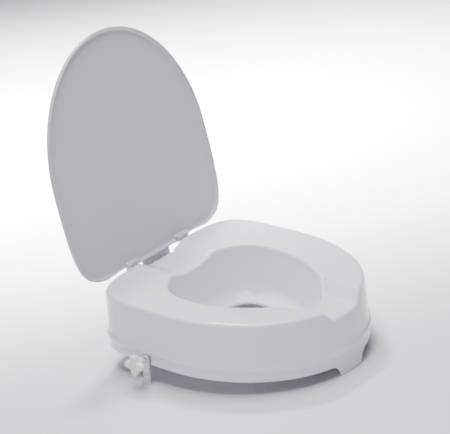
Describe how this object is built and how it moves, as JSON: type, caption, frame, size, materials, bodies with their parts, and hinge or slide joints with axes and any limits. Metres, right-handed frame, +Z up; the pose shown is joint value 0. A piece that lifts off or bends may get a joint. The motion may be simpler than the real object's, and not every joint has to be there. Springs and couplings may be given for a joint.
{
  "type": "raised toilet seat",
  "caption": "Raised seat that lies on a toilet bowl, with a hinged lid, a recess at front and rear and a screw clamp on each side.",
  "frame": {"origin": "below the centre of the whole part's box, at the height of the clamp arms' lower ends", "axes": "+Z up, -Y the user's front, +Y the lid's hinge, +X the user's left"},
  "size_m": [0.437, 0.4872, 0.5124],
  "materials": {
    "white_seat": "glossy moulded polypropylene, cool white",
    "white_lid": "glossy moulded polypropylene, cool white",
    "nylon": "slightly translucent natural nylon",
    "rubber": "matt grey rubber",
    "steel": "bright zinc-plated steel"
  },
  "bodies": {
    "seat": {"seat_shell": "white_seat", "rim_pad_1": "rubber", "rim_pad_2": "rubber", "rim_pad_3": "rubber", "rim_pad_4": "rubber", "hinge_bracket_left": "white_seat", "hinge_pin_left": "steel", "hinge_screw_left_1": "steel", "hinge_screw_left_2": "steel", "clamp_nut_left": "steel", "hinge_bracket_right": "white_seat", "hinge_pin_right": "steel", "hinge_screw_right_1": "steel", "hinge_screw_right_2": "steel", "clamp_nut_right": "steel"},
    "lid": {"lid": "white_lid"},
    "clamp_left": {"clamp_arm_left": "nylon", "clamp_pad_left": "rubber"},
    "knob_left": {"clamp_knob_left": "nylon", "clamp_stud_left": "steel", "clamp_washer_left": "steel", "clamp_clip_left": "steel"},
    "clamp_right": {"clamp_arm_right": "nylon", "clamp_pad_right": "rubber"},
    "knob_right": {"clamp_knob_right": "nylon", "clamp_stud_right": "steel", "clamp_washer_right": "steel", "clamp_clip_right": "steel"}
  },
  "joints": [
    {"name": "lid_hinge", "type": "hinge", "parent": "seat", "child": "lid", "pos_m": [0, 0.15677, 0.1344], "axis": [1, 0, 0], "range_deg": [0, 101.8]},
    {"name": "clamp_slide_left", "type": "slide", "parent": "seat", "child": "clamp_left", "axis": [-1, 0, 0], "range_m": [0, 0.009]},
    {"name": "knob_turn_left", "type": "hinge", "parent": "clamp_left", "child": "knob_left", "pos_m": [0.2, 0.03227, 0.046], "axis": [-1, 0, 0], "range_deg": [0, 1296]},
    {"name": "clamp_slide_right", "type": "slide", "parent": "seat", "child": "clamp_right", "axis": [1, 0, 0], "range_m": [0, 0.009]},
    {"name": "knob_turn_right", "type": "hinge", "parent": "clamp_right", "child": "knob_right", "pos_m": [-0.2, 0.03227, 0.046], "axis": [1, 0, 0], "range_deg": [0, 1296]}
  ],
  "couplings": [
    {"joint": "knob_turn_left", "follows": "clamp_slide_left", "rad_per_m": 2513.3},
    {"joint": "knob_turn_right", "follows": "clamp_slide_right", "rad_per_m": 2513.3}
  ]
}
